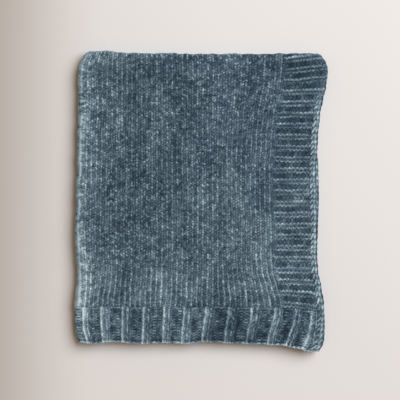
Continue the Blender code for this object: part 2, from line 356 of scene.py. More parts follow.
def bodyStitches(across, along):
    # plain stockinette, whose places wander a little. Near the ribbing and the side bands the
    # cloth is pulled, so its stitch columns read as lines, with painted light on their left legs; elsewhere
    # it reads as tufts.
    x = (across - throw["bandWidth"]) / wale
    x = x + body["swayAcross"] * softNoise(across / 0.05, along / 0.03, 11)
    y = (along - throw["ribHeight"]) / course
    y = y + body["swayAlong"] * softNoise(across / 0.03, along / 0.04, 12)
    fromEdge = np.minimum(across, throw["width"] - across)
    fromEnd = np.minimum(along, throw["length"] - along)
    pulled = body["pulledEnd"] * near(fromEnd, 0.10, 0.24)
    pulled = pulled + body["pulledSide"] * near(fromEdge, 0.13, 0.24) + body["pulledAll"]
    pulled = pulled + body["pulledChange"] * softNoise(across / 0.06, along / 0.08, 27)
    pulled = np.clip(pulled, 0.0, 1.0)
    height, light = legs(x, y, 21, body["tuftSlant"], body["tuftLength"])
    height = 1.0 - (1.0 - height) * (body["shallow"] + (1.0 - body["shallow"]) * pulled)
    tint = stitch["tuftLight"] * (1.0 - body["duller"] * pulled) * (light - body["meanTuft"])
    tint = tint + (body["streaks"] + body["pulledStreaks"] * pulled) * columnStreaks(x, along, 24)
    # painted light: where pulled, the left legs lighter and the right ones darker
    tint = tint + body["lines"] * pulled * lyingLeft(x)
    standing = wholeTufts(x, y, 28) - body["meanWholeTuft"]
    tint = tint + body["wholeTufts"] * (1.0 - pulled) * standing
    tint = tint + body["rows"] * softNoise(across / 0.022, np.floor(y), 26)
    return height, np.zeros_like(x), tint


# The ribbing of both ends: two wales raised and two sunken.
ribbing = {
    "start": 0.19,             # where the first rib starts, in rib periods from the selvedge
    "sway": 0.08,              # wales that the ribs wander
    "depth": 0.0028,           # how deep the purl wales lie
    "rise": (0.0, 0.08),       # where a rib rises and falls, in rib periods
    "fall": (0.46, 0.55),
    "tuftLength": 0.60,
    "knitTufts": 0.9,          # share of the body's tufts on the raised wales
    "meanKnit": 0.30,
    "purlTufts": 0.7,
    "meanPurl": 0.33,
    "raised": 0.05,            # painted light: how much lighter the raised wales are as a whole
    # painted light on the left legs of the raised wales
    "lines": 0.08,
    "streaks": 0.09,
    "lean": 0.25,              # painted light: how much lighter a rib gets from its right to its left
    "leanFrom": 0.18,
    "loose": 0.20,             # uneven pile in the purl wales
    # painted shade: the sunken wales darker
    "sunken": -0.05,
    "edgePlace": 0.42,         # the bulge of a rib's left side, in rib periods, painted lighter
    "edgeWidth": 0.12,
    "edgeSway": 0.014,
    "edge": 0.08,
    "edgeChange": 0.10,
    "linePlace": 0.40,         # the one thin painted highlight of its last legs
    "lineWidth": 0.050,
    "line": 0.22,
    "firstRow": 0.42,          # the row of purl heads against the body
    "castOn": 0.40,
    "castOnWidth": (0.001, 0.005),
    "groove": 0.12,            # painted shade in the groove inside the cast-on edge, which also sinks by grooveDepth
    "grooveAt": 0.0078,
    "grooveWidth": 0.0028,
    "grooveDepth": 0.0010,
    "brightest": 0.60,
}


def ribStitches(across, fromEnd):
    # Raised wales of V stitches and sunken wales of purl bumps, two and two, all the way across.
    # A rib's left side is a round bulge with painted light and a thin painted highlight, a bell curve of the
    # place in the rib; the raised wales get painted light and the sunken ones painted shade. The tint is
    # levelled off towards its brightest by a tanh.
    x = (across - ribbing["start"] * ribPeriod) / wale
    x = x + ribbing["sway"] * softNoise(across / 0.05, fromEnd / 0.04, 13)
    y = fromEnd / ribCourse
    place = (x % 4.0) / 4.0
    raised = ease(place, *ribbing["rise"]) * near(place, *ribbing["fall"])
    sunken = 1.0 - raised
    knitHeight, knitLight = legs(x, y, 31, leg["slant"], ribbing["tuftLength"])
    purlHeight, purlLight = bumps(x, y, 32)
    firstRow = np.exp(-((fromEnd - throw["ribHeight"] + 0.5 * ribCourse) / (0.30 * ribCourse)) ** 2)
    firstRow = firstRow * sunken
    sway = ribbing["edgeSway"] * softNoise(across / 0.03, fromEnd / 0.012, 38)
    edge = np.exp(-((place - ribbing["edgePlace"] - sway) / ribbing["edgeWidth"]) ** 2)
    line = np.exp(-((place - ribbing["linePlace"] - sway) / ribbing["lineWidth"]) ** 2)
    height = knitHeight * raised + np.maximum(purlHeight, firstRow) * sunken
    height = np.maximum(height, 0.9 * edge)
    castOn = near(fromEnd, *ribbing["castOnWidth"])
    groove = np.exp(-((fromEnd - ribbing["grooveAt"]) / ribbing["grooveWidth"]) ** 2)
    sink = ribbing["depth"] * sunken * (1.0 - 0.6 * firstRow)
    sink = sink * (1.0 - castOn) + ribbing["grooveDepth"] * groove
    onRib = stitch["tuftLight"] * ribbing["knitTufts"] * (knitLight - ribbing["meanKnit"])
    # painted light: the left legs, the left of each rib, the raised wales and the thin line are lighter
    onRib = onRib + ribbing["lines"] * lyingLeft(x) + ribbing["streaks"] * columnStreaks(x, fromEnd, 34)
    onRib = onRib + ribbing["lean"] * (place - ribbing["leanFrom"])
    onRib = onRib + ribbing["raised"] + ribbing["line"] * line
    between = stitch["tuftLight"] * ribbing["purlTufts"] * (purlLight - ribbing["meanPurl"])
    between = between + ribbing["loose"] * softNoise(across / 0.008, fromEnd / 0.012, 37)
    # painted shade in the sunken wales
    between = between + ribbing["sunken"]
    firstLight = picked(np.floor(1.6 * x), np.floor(x / 4), 36)
    # painted light on the bulge of a rib's left side
    edgeLight = ribbing["edge"] + ribbing["edgeChange"] * softNoise(across / 0.02, fromEnd / 0.009, 35)
    tint = onRib * raised + between * sunken
    tint = tint + ribbing["firstRow"] * firstLight ** 2 * firstRow + edgeLight * edge
    # painted shade darkens the groove
    tint = tint + ribbing["castOn"] * castOn - ribbing["groove"] * groove
    return height, sink, ribbing["brightest"] * np.tanh(tint / ribbing["brightest"])


# The welts of the side bands: a pair of purl ridges, then knit rows that lie deeper.
band = {
    "depth": 0.0021,
    "sway": 0.12,              # columns that the beads wander
    "climb": 0.012,            # how far the welts climb outwards near the top fold
    "climbFrom": 0.58,
    "climbTo": 0.76,
    "ripple": 0.0011,
    "pair": 0.31,              # middle of the pair of ridges, in welts
    "upper": (0.479, 0.125),   # place and half height of each ridge
    "lower": (0.141, 0.115),
    "scallop": 0.060,          # how far the ridges swing with the columns
    "ridge": 0.15,
    "upperRidge": 0.06,
    "ownTone": 0.19,
    "beads": 0.22,
    "meanTone": 0.11,
    "strands": 0.30,
    "meanStrand": 0.12,
    "strandPile": 0.05,
    "lowEnd": 0.10,            # how much lighter the band is near the ribbing
}


def bandStitches(fromEdge, along):
    # Two round ridges, whose lines swing with a cosine of the column, and between the pairs
    # sunken rows that show as strands, one to a column.
    x = (fromEdge - stitch["selvedge"]) / bandWale
    x = x + band["sway"] * softNoise(fromEdge / 0.04, along / 0.02, 14)
    climb = band["climb"] * ease(along, band["climbFrom"], band["climbTo"])
    climb = climb * (1.0 - fromEdge / throw["bandWidth"])
    climb = climb + band["ripple"] * softNoise(fromEdge / 0.035, along / 0.03, 15)
    turns = (along - climb - throw["ribHeight"]) / welt
    row, phase = np.floor(turns), turns % 1.0
    side = phase > band["pair"]
    column = np.floor(x)
    bead = picked(row * 2 + side, column, 41)
    fromEnd = np.minimum(along, throw["length"] - along)
    swing = np.cos(2 * math.pi * x)
    scallop = band["scallop"] * (1.0 - 0.6 * ease(fromEnd, 0.50, 0.70)) * swing + 0.06 * (bead - 0.5)
    upper = 1.0 - ((phase - band["upper"][0] - scallop) / band["upper"][1]) ** 2
    lower = 1.0 - ((phase - band["lower"][0] + scallop) / band["lower"][1]) ** 2
    ridge = np.sqrt(np.maximum(np.maximum(upper, lower), 0.0)) * (0.88 + 0.12 * swing)
    inPair = near(abs(phase - band["pair"]), 0.20, 0.31)
    strand = np.sqrt(np.maximum(1.0 - ((x - column - 0.5) / 0.56) ** 2, 0.0))
    height = np.maximum(ridge, 0.45 * inPair + (0.30 + 0.30 * strand) * (1.0 - inPair))
    sink = band["depth"] * (1.0 - inPair)
    tone = band["ridge"] + band["upperRidge"] * side
    tone = tone + band["ownTone"] * softNoise(row * 2 + side, x / 2.5, 44)
    tone = tone + band["beads"] * bead ** 2 * (0.6 + 0.4 * swing)
    strands = band["strands"] * picked(column, row, 43) ** 1.5 * strand ** 3 - band["meanStrand"]
    strands = strands + band["strandPile"] * softNoise(x, turns * 5, 46)
    tint = ridge * tone - band["meanTone"] + strands * (1.0 - inPair)
    return height, sink, tint + band["lowEnd"] * near(fromEnd, 0.15, 0.68)


# The chain of the free edges, in metres from the edge. Its loops' length is a share of a link.
chain = {
    "wander": 0.30,            # links that it runs early or late
    "swing": 0.0007,
    "loose": 0.0024,
    "outerAt": 0.0050,
    "outerWidth": 0.0034,
    "waist": 0.22,             # how much thinner the outer links are where they meet
    "loopAt": 0.0130,
    "loopWidth": 0.0036,
    "loopLength": 0.66,
    "loopSlant": 0.0055,
    "outerLight": (0.55, 0.45),    # of every link, and by its own chance
    "loopLight": (0.24, 0.42),
    "outerTint": 0.74,
    "meanTint": 0.09,
    "sink": 0.0006,
    "fadeFrom": 0.60,          # it fades near the fold, where the cloth is drawn over
    "fadeTo": 0.70,
}


def chainLinks(fromEdge, y):
    # A slipped selvedge: an outer column of long links, nearly joined, and an inner column of
    # shorter loops that slant towards it, both bell curves. y counts links.
    flat = np.zeros_like(y)
    y = y + chain["wander"] * softNoise(y / 3.1, flat, 48)
    row, f = np.floor(y), y % 1.0
    swing = chain["swing"] * np.sin(2 * math.pi * y) + chain["loose"] * softNoise(y / 2.3, flat, 47)
    outer = np.exp(-((fromEdge - chain["outerAt"] - swing) / chain["outerWidth"]) ** 2)
    outer = outer * (1.0 - chain["waist"] + chain["waist"] * np.cos(2 * math.pi * (f - 0.5)))
    slant = chain["loopSlant"] * (f - 0.5)
    loop = np.exp(-((fromEdge - chain["loopAt"] - swing + slant) / chain["loopWidth"]) ** 2
                  - ((f - 0.5) / chain["loopLength"]) ** 2)
    own, second = (picked(row, np.full_like(row, i), 45) for i in range(2))
    height = np.minimum(0.25 + 0.80 * np.maximum(outer, loop), 1.0)
    outer = chain["outerTint"] * outer * (chain["outerLight"][0] + chain["outerLight"][1] * own)
    loop = loop * (chain["loopLight"][0] + chain["loopLight"][1] * second)
    return height, outer + loop - chain["meanTint"]


def mixed(first, second, share):
    # every value of the first, moved towards that of the second by the share
    return [a + share * (b - a) for a, b in zip(first, second)]


# How far the stitch columns of ribbing and low body have slid to the right, at places from the
# right edge: the ribs spread towards the right.
ribSlide = np.array((
    (0.000, 0.000),
    (0.037, 0.000),
    (0.078, 0.0115),
    (0.133, 0.0095),
    (0.190, 0.0050),
    (0.245, 0.0030),
    (0.303, -0.0020),
    (0.359, -0.0050),
    (0.465, -0.0050),
    (0.572, -0.0060),
    (0.616, 0.0030),
    (0.635, 0.0000),
))


def stitchesAt(across, along):
    # height in the stitch, how deep it sinks and how light it is, for any place
    fromEdge = np.minimum(across, throw["width"] - across)
    fromEnd = np.minimum(along, throw["length"] - along)
    slide = readTable(ribSlide, np.minimum(fromEdge, halfWidth), 1)
    slid = across + slide * near(fromEnd, 0.08, 0.22)
    inBand = near(fromEdge, throw["bandWidth"] - 0.003, throw["bandWidth"] + 0.001)
    inRib = near(fromEnd, throw["ribHeight"] - 0.002, throw["ribHeight"] + 0.001)
    found = mixed(bodyStitches(slid, along), bandStitches(fromEdge, along), inBand)
    found = mixed(found, ribStitches(slid, fromEnd), inRib)
    # the chain runs along the whole free edge
    chained = near(fromEdge, stitch["selvedge"] - 0.0015, stitch["selvedge"] + 0.001)
    faded = ease(fromEnd, chain["fadeFrom"], chain["fadeTo"])
    chained = chained * ease(fromEnd, 0.002, 0.008) * (1.0 - 0.6 * faded)
    height, tint = chainLinks(fromEdge, along / link)
    tint = tint * (1.0 - 0.2 * inRib) * (1.0 - 0.5 * faded)
    return mixed(found, (height, chain["sink"], tint), chained)


def rimShare(across, along):
    # the share of the thickness left by the rounded free edges: a quarter circle of the place
    rim = np.minimum(np.minimum(across, throw["width"] - across),
                     np.minimum(along, throw["length"] - along))
    inside = np.clip(1.0 - rim / throw["rimWidth"], 0.0, 1.0)
    return throw["rimShare"] + (1.0 - throw["rimShare"]) * np.sqrt(1.0 - inside ** 2)


def bulged(across, along):
    # the loops of the free edges bulge out by a squared cosine, one to a wale or to a link
    sideShift = stitch["edgeBulge"] * np.cos(math.pi * along / link) ** 2
    endShift = stitch["edgeBulge"] * np.cos(math.pi * across / wale) ** 2
    toEdges = (across, throw["width"] - across, along, throw["length"] - along)
    right, left, bottom, top = (near(toEdge, 0.0, stitch["bulgeReach"]) for toEdge in toEdges)
    return across + sideShift * (left - right), along + endShift * (top - bottom)


def clothPoints(across, along, relief, front):
    # half the thickness above the cloth's middle, less the relief, or the plain back below it
    half = throw["thickness"] / 2
    height = half - relief if front else throw["backRelief"] - half
    a, b = bulged(across, along)
    return folded(a, b, height * rimShare(across, along))


def facing(points):
    # outward unit normals of a front grid, from its two directions
    cross = np.cross(np.gradient(points, axis=1), np.gradient(points, axis=0))
    return cross / np.maximum(np.linalg.norm(cross, axis=-1, keepdims=True), 1e-12)


def gridFaces(columns, rows, start, flip):
    # four-sided faces of a grid of columns by rows points
    i, j = np.meshgrid(np.arange(columns - 1), np.arange(rows - 1), indexing="ij")
    first = start + i * rows + j
    quads = np.stack((first, first + rows, first + rows + 1, first + 1), axis=-1).reshape(-1, 4)
    return quads[:, ::-1] if flip else quads


def edgeFaces(dense, sparse, kept):
    # triangles between a dense edge and one that has points only at the kept places of it
    middle = (kept[:-1] + kept[1:]) // 2
    step = np.arange(len(dense) - 1)
    nearest = sparse[np.searchsorted(middle, step, side="right")]
    fans = np.stack((dense[:-1], dense[1:], nearest), axis=-1)
    spans = np.stack((dense[middle], sparse[1:], sparse[:-1]), axis=-1)
    return np.concatenate((fans, spans))


def keptPlaces(places, every, full):
    # every so many places, and all of them near a free edge
    index = np.arange(len(places))
    rim = np.minimum(places, full - places) < throw["rimWidth"] * 1.01
    keep = (index % every == 0) | rim
    keep[-1] = True
    return index[keep]


# Tone patches, lighter or darker; the two strongest, along the left edge, are painted light on the left fold:
# from the left edge, above the bottom edge, half width, half height, turn in degrees, and how much lighter.
toneAndLightPatches = (
    (0.000, 0.140, 0.055, 0.075, 0, 0.34),
    (0.000, 0.400, 0.036, 0.600, 0, 0.32),
    (0.030, 0.490, 0.055, 0.070, 0, 0.10),
    (0.030, 0.770, 0.110, 0.030, 0, 0.17),
    (0.320, 0.765, 0.060, 0.030, 0, -0.20),
    (0.400, 0.765, 0.030, 0.025, 0, 0.16),
    (0.490, 0.770, 0.060, 0.030, 0, -0.08),
    (0.300, 0.040, 0.400, 0.045, 0, 0.05),
    (0.540, 0.420, 0.035, 0.180, 0, 0.03),
    (0.045, 0.600, 0.045, 0.110, 0, 0.09),
    (0.060, 0.230, 0.050, 0.110, 0, 0.06),
    (0.110, 0.325, 0.045, 0.050, 20, -0.07),
    (0.270, 0.700, 0.060, 0.060, 30, -0.09),
    (0.140, 0.720, 0.060, 0.040, 0, -0.05),
    (0.200, 0.470, 0.140, 0.120, 0, -0.045),
    (0.350, 0.740, 0.050, 0.050, 0, 0.08),
    (0.380, 0.600, 0.045, 0.060, 0, 0.07),
    (0.340, 0.350, 0.060, 0.070, 0, 0.07),
    (0.490, 0.230, 0.045, 0.120, -8, 0.10),
    (0.240, 0.150, 0.120, 0.060, 0, 0.10),
    (0.400, 0.050, 0.070, 0.045, 0, -0.20),
    (0.480, 0.040, 0.040, 0.030, 0, -0.10),
    (0.500, 0.560, 0.090, 0.070, 0, -0.05),
    (0.018, 0.085, 0.030, 0.040, 0, -0.10),
    (0.018, 0.150, 0.025, 0.022, 0, 0.12),
    (0.042, 0.480, 0.018, 0.300, 0, -0.04),
    (0.085, 0.022, 0.022, 0.020, 0, 0.16),
    (0.400, 0.100, 0.045, 0.030, 0, -0.12),
    (0.580, 0.085, 0.035, 0.040, 0, -0.12),
    (0.240, 0.735, 0.030, 0.030, 0, -0.03),
    (0.450, 0.715, 0.035, 0.040, 0, -0.11),
    (0.580, 0.290, 0.035, 0.025, 0, -0.14),
    (0.145, 0.450, 0.045, 0.030, 0, -0.11),
    (0.215, 0.190, 0.045, 0.030, 0, 0.11),
    (0.501, 0.200, 0.035, 0.040, 0, 0.10),
    (0.004, 0.657, 0.030, 0.040, 0, 0.11),
    (0.645, 0.605, 0.020, 0.030, 0, -0.10),
    (0.083, 0.500, 0.028, 0.028, 0, 0.08),
    (0.000, 0.400, 0.016, 0.110, 0, 0.08),
    (0.449, 0.041, 0.030, 0.022, 0, -0.07),
    (0.018, 0.055, 0.014, 0.050, 0, -0.05),
)


# How noise changes the yarn's lightness, and how much light and shade is painted on the folds. Each noise has
# its size in metres beside it.
pileAndPaintedLight = {
    "broad": (0.05, 0.05, 0.06),
    "small": (0.07, 0.018, 0.025),
    "grainSize": (0.007, 0.008),
    "fineSize": 0.0034,
    "grain": 0.08,
    "turnedGrain": 0.14,       # more of it where the cloth turns over the left fold
    "leftGrain": 0.08,
    "turned": 0.45,            # painted light on the left fold, where it turns away from the lamp
    # painted light on faces that turn towards the top fold and the bottom end
    "ends": 0.14,
    "turnedGaps": 0.50,        # painted shade in the stitches' gaps on the fold
    "wallGaps": 0.90,
    "wall": 0.16,              # painted shade: the upright wall of the fold darker
}


def shadeOf(across, along, points, normals, tint, height):
    # how light the yarn is: its stitch's own tint, noise, painted light and shade on the left fold, painted
    # light towards the ends, painted shade on the lower layers, and the large patches
    x, y = points[..., 0] - outlineCorner[0], points[..., 1] - outlineCorner[1]
    leftward, upward = -normals[..., 0], ease(normals[..., 2], -0.15, 0.35)
    # the patches, the left-edge ones painted light, fade on faces that turn down
    shade = sum(hill(x, y, spot) for spot in toneAndLightPatches) * (0.2 + 0.8 * upward)
    for (weight, wide, tall), seed in ((pileAndPaintedLight["broad"], 51), (pileAndPaintedLight["small"], 52)):
        shade = shade + weight * softNoise(across / wide, along / tall, seed)
    # the left fold's turned and upright faces, where light and shade are painted
    turned = ease(leftward, 0.10, 0.80) * (0.15 + 0.85 * upward)
    wall = ease(leftward, 0.80, 0.99)
    grain = pileAndPaintedLight["grain"] + pileAndPaintedLight["turnedGrain"] * turned + pileAndPaintedLight["leftGrain"] * near(x, 0.01, 0.08)
    wide, tall = pileAndPaintedLight["grainSize"]
    shade = shade + grain * softNoise(across / wide, along / tall, 53)
    fine = softNoise(across / pileAndPaintedLight["fineSize"], along / pileAndPaintedLight["fineSize"], 54)
    shade = shade + (0.6 * grain - 0.01) * fine
    # painted light on the left fold and on faces turned towards the ends
    shade = shade + pileAndPaintedLight["turned"] * turned + pileAndPaintedLight["ends"] * ease(abs(normals[..., 1]), 0.2, 0.8)
    # painted shade where a lower layer shows past the upper ones, from 0.2 m above the bottom edge up; below
    # 0.1 m the same faces are lighter instead
    paintedLowerShade = near(points[..., 2], 0.52 * stackHeight, 0.68 * stackHeight) * ease(normals[..., 2], 0.2, 0.8)
    shade = shade + tint - paintedLowerShade * (0.22 * ease(y, 0.10, 0.20) - 0.12)
    # painted shade in the stitches' gaps on the fold and on its upright wall
    gaps = (pileAndPaintedLight["turnedGaps"] * turned + pileAndPaintedLight["wallGaps"] * wall) * (1.0 - height)
    return shade - gaps - pileAndPaintedLight["wall"] * wall, turned


# The mesh of a piece: how it meets its seams, and the fuzz of its face.
face = {
    "seamReach": 0.002,
    "seamLevel": 0.35,         # height in the stitch at a seam and on the plain back
    "fuzzHeight": 0.00025,
    "fuzzSize": 0.0026,
}


def slab(name, acrossPlaces, alongPlaces, every, seams):
    # a closed stretch of the cloth: a finely stitched front, a plainer back and its four edges
    across, along = np.meshgrid(acrossPlaces, alongPlaces, indexing="ij")
    height, sink, tint = stitchesAt(across, along)
    for place, values in seams:
        toSeam = abs((across if place == "across" else along) - values)
        height = height + (face["seamLevel"] - height) * near(toSeam, 0.0, face["seamReach"])
        sink = sink * ease(toSeam, 0.0, face["seamReach"])
    smooth = clothPoints(across, along, sink, True)
    shade, turned = shadeOf(across, along, smooth, facing(smooth), tint, height)
    fuzz = softNoise(across / face["fuzzSize"], along / face["fuzzSize"], 61)
    relief = sink + stitch["relief"] * (1.0 - height) + face["fuzzHeight"] * fuzz
    front = clothPoints(across, along, relief, True)
    keptAcross = keptPlaces(acrossPlaces, every[0], throw["width"])
    keptAlong = keptPlaces(alongPlaces, every[1], throw["length"])
    backAcross, backAlong = np.meshgrid(acrossPlaces[keptAcross], alongPlaces[keptAlong], indexing="ij")
    back = clothPoints(backAcross, backAlong, 0.0, False)
    columns, rows = across.shape
    a = np.arange(columns * rows).reshape(columns, rows)
    b = columns * rows + np.arange(backAcross.size).reshape(backAcross.shape)
    quads = np.concatenate((gridFaces(columns, rows, 0, True),
                            gridFaces(*backAcross.shape, columns * rows, False)))
    rims = (
        edgeFaces(a[0], b[0], keptAlong)[:, ::-1],
        edgeFaces(a[-1], b[-1], keptAlong),
        edgeFaces(a[:, 0], b[:, 0], keptAcross),
        edgeFaces(a[:, -1], b[:, -1], keptAcross)[:, ::-1],
    )
    free = (acrossPlaces[0] == 0.0, acrossPlaces[-1] == throw["width"],
            alongPlaces[0] == 0.0, alongPlaces[-1] == throw["length"])
    flatRims = np.concatenate([np.full(len(rim), not isFree) for rim, isFree in zip(rims, free)])
    backValues = np.full(backAcross.size, face["seamLevel"])
    points = np.concatenate((front.reshape(-1, 3), back.reshape(-1, 3)))
    cloth = np.concatenate((np.stack((across, along), -1).reshape(-1, 2),
                            np.stack((backAcross, backAlong), -1).reshape(-1, 2)))
    values = {
        "loft": np.concatenate((height.ravel(), backValues)),
        "shade": np.concatenate((shade.ravel(), 0.0 * backValues)),
        "paintedFoldLight": np.concatenate((turned.ravel(), 0.0 * backValues)),
    }
    return makeMesh(name, points, quads, np.concatenate(rims), flatRims, cloth, values)


def makeMesh(name, points, quads, triangles, flatTriangles, cloth, values):
    # the faces of front and back and the triangles of the edges, with the place on the flat cloth
    # as UV and one value of each kind to a point
    mesh = bpy.data.meshes.new(name)
    corners = np.concatenate((quads.ravel(), triangles.ravel())).astype(np.int32)
    sizes = np.concatenate((np.full(len(quads), 4), np.full(len(triangles), 3)))
    starts = np.concatenate(([0], np.cumsum(sizes)[:-1])).astype(np.int32)
    mesh.vertices.add(len(points))
    mesh.vertices.foreach_set("co", points.astype(np.float32).ravel())
    mesh.loops.add(len(corners))
    mesh.loops.foreach_set("vertex_index", corners)
    mesh.polygons.add(len(sizes))
    mesh.polygons.foreach_set("loop_start", starts)
    mesh.update(calc_edges=True)
    flat = mesh.attributes.new("sharp_face", "BOOLEAN", "FACE")
    flat.data.foreach_set("value", np.concatenate((np.zeros(len(quads), bool), flatTriangles)))
    uv = mesh.uv_layers.new(name="cloth")
    uv.data.foreach_set("uv", cloth[corners].astype(np.float32).ravel())
    for label, numbers in values.items():
        layer = mesh.attributes.new(label, "FLOAT", "POINT")
        layer.data.foreach_set("value", numbers.astype(np.float32))
    piece = bpy.data.objects.new(name, mesh)
    bpy.context.scene.collection.objects.link(piece)
    return piece


def srgb(code):
    # a hex colour, turned to linear light
    parts = [int(code[i:i + 2], 16) / 255 for i in (1, 3, 5)]
    return tuple(p / 12.92 if p <= 0.04045 else ((p + 0.055) / 1.055) ** 2.4 for p in parts) + (1.0,)


def addNode(tree, kind, settings=None, links=None):
    # one node with its settings, inputs given as values or as other nodes' outputs
    node = tree.nodes.new(kind)
    for key, value in (settings or {}).items():
        setattr(node, key, value)
    for key, value in (links or {}).items():
        if isinstance(value, bpy.types.NodeSocket):
            tree.links.new(value, node.inputs[key])
        else:
            node.inputs[key].default_value = value
    return node


# Chenille yarn: short pile twisted into a core. It is matt and velvety, its dyed pile takes the
# light unevenly, so single legs stand out light or dark; the gaps between legs get painted shade.
chenille = {
    "ramp": ((0.00, "#182a36"), (0.21, "#364a5a"), (0.42, "#5b6f7e"), (0.64, "#869eac"),
             (0.85, "#bad4e0"), (1.00, "#dcedf4")),
    "rampReach": 0.85,        # the place that a full shade of 1 has on the ramp
    "loft": 0.34,             # painted shade: how much lighter the full legs are than the gaps
    "base": 0.14,
    "clumps": 1.02,           # how much the clumps of pile and the single tufts differ
    "pile": 0.36,
    "roughness": 0.9,
    "ior": 1.47,
    "specular": 0.2,
    "sheenWeight": 0.9,
    "sheenRoughness": 0.35,
    "sheenTint": "#a4c0cd",
    "paintedFoldLightTint": "#cce8ff",     # a cooler tint for the painted light on the left fold
    "tuftSize": 0.0032,       # metres between clumps of pile
    "pileSize": 0.0011,       # metres between single tufts
    "pileHeight": 0.0005,
    "pileBump": 0.6,
}


def chenilleMaterial():
    # the yarn's colour is a place on the ramp, summed from the stitch with painted shade in its gaps, the
    # shade attribute with its painted light and shade, and noise
    material = bpy.data.materials.new("chenilleYarn")
    material.use_nodes = True
    tree = material.node_tree
    tree.nodes.clear()
    uv = addNode(tree, "ShaderNodeUVMap", {"uv_map": "cloth"})
    loft = addNode(tree, "ShaderNodeAttribute", {"attribute_name": "loft"})
    shade = addNode(tree, "ShaderNodeAttribute", {"attribute_name": "shade"})
    tufts = addNode(tree, "ShaderNodeTexNoise", {}, {
        "Vector": uv.outputs["UV"], "Scale": 1 / chenille["tuftSize"], "Detail": 1.0})
    pile = addNode(tree, "ShaderNodeTexNoise", {}, {
        "Vector": uv.outputs["UV"], "Scale": 1 / chenille["pileSize"], "Detail": 2.0, "Roughness": 0.7})
    # place on the ramp: a share of loft, which paints shade into the gaps, the shade, and clumps and tufts
    # about their middle
    terms = (
        # the loft term paints shade into the gaps between the legs
        (loft.outputs["Fac"], chenille["loft"], chenille["base"]),
        (shade.outputs["Fac"], 1.0, 0.0),
        (tufts.outputs["Fac"], chenille["clumps"], -chenille["clumps"] / 2),
        (pile.outputs["Fac"], chenille["pile"], -chenille["pile"] / 2),
    )
    total = None
    for socket, weight, offset in terms:
        part = addNode(tree, "ShaderNodeMath", {"operation": "MULTIPLY_ADD"}, {
            0: socket, 1: weight, 2: offset})
        if total is not None:
            part = addNode(tree, "ShaderNodeMath", {"operation": "ADD"}, {
                0: total.outputs[0], 1: part.outputs[0]})
        total = part
    placed = addNode(tree, "ShaderNodeMath", {"operation": "MULTIPLY"}, {
        0: total.outputs[0], 1: chenille["rampReach"]})
    ramp = addNode(tree, "ShaderNodeValToRGB", {}, {"Fac": placed.outputs[0]})
    stops = ramp.color_ramp.elements
    stops[0].position, stops[1].position = chenille["ramp"][0][0], chenille["ramp"][-1][0]
    stops[0].color, stops[1].color = srgb(chenille["ramp"][0][1]), srgb(chenille["ramp"][-1][1])
    for position, code in chenille["ramp"][1:-1]:
        stops.new(position).color = srgb(code)
    # the painted light on the left fold is tinted cooler
    paintedFoldLight = addNode(tree, "ShaderNodeAttribute", {"attribute_name": "paintedFoldLight"})
    colour = addNode(tree, "ShaderNodeMix", {"data_type": "RGBA", "blend_type": "MULTIPLY"}, {
        0: paintedFoldLight.outputs["Fac"], 6: ramp.outputs["Color"], 7: srgb(chenille["paintedFoldLightTint"])})
    bump = addNode(tree, "ShaderNodeBump", {}, {
        "Height": pile.outputs["Fac"], "Strength": chenille["pileBump"],
        "Distance": chenille["pileHeight"]})
    shader = addNode(tree, "ShaderNodeBsdfPrincipled", {}, {
        "Base Color": colour.outputs[2], "Normal": bump.outputs["Normal"],
        "Roughness": chenille["roughness"], "Metallic": 0.0, "IOR": chenille["ior"],
        "Specular IOR Level": chenille["specular"], "Sheen Weight": chenille["sheenWeight"],
        "Sheen Roughness": chenille["sheenRoughness"], "Sheen Tint": srgb(chenille["sheenTint"])})
    addNode(tree, "ShaderNodeOutputMaterial", {}, {"Surface": shader.outputs["BSDF"]})
    return material


# How fine the meshes are: steps to a stitch where it shows, or else steps over the whole stretch.
fineness = {
    "wale": 8,
    "course": 6,
    "bandSteps": 97,
    "ribSteps": 83,
    "chainSteps": 10,
    "backSteps": 94,
    "undersideSteps": 187,
    "hiddenRowSteps": 414,
}
rimPlaces = np.array((0.0, 0.0003, 0.0009, 0.0018, 0.0030, 0.0045, throw["rimWidth"]))
splitWales = 20.25          # the body is parted along the middle of a column of legs
chainWidth = stitch["selvedge"] + 0.001


def fromRim(*stretches):
    # the closer places of a free edge, then stretches of even steps, each given by its end
    places = [rimPlaces]
    for end, count in stretches:
        places.append(np.linspace(places[-1][-1], end, count + 1))
    return np.unique(np.concatenate(places))


splitAt = throw["bandWidth"] + splitWales * wale
rightSteps = round(splitWales * fineness["wale"])
leftSteps = round((halfWidth - splitAt) / wale * fineness["wale"])
bodySteps = round((halfLength - throw["ribHeight"]) / course * fineness["course"])
chainStretch = (chainWidth, fineness["chainSteps"])
bandColumns = fromRim((throw["bandWidth"], fineness["bandSteps"]))
rightColumns = np.linspace(throw["bandWidth"], splitAt, rightSteps + 1)
leftColumns = np.linspace(splitAt, halfWidth, leftSteps + 1)
upperColumns = np.unique(np.concatenate((bandColumns, rightColumns, leftColumns)))
backColumns = fromRim(chainStretch, (halfWidth, fineness["backSteps"]))
undersideColumns = fromRim(chainStretch, (halfWidth, fineness["undersideSteps"]))
bodyRows = np.linspace(throw["ribHeight"], halfLength, bodySteps + 1)
ribRows = fromRim((throw["ribHeight"], fineness["ribSteps"]))
hiddenRows = fromRim((halfLength, fineness["hiddenRowSteps"]))
farBackColumns = throw["width"] - backColumns[::-1]
farUndersideColumns = throw["width"] - undersideColumns[::-1]
farRows = throw["length"] - hiddenRows[::-1]

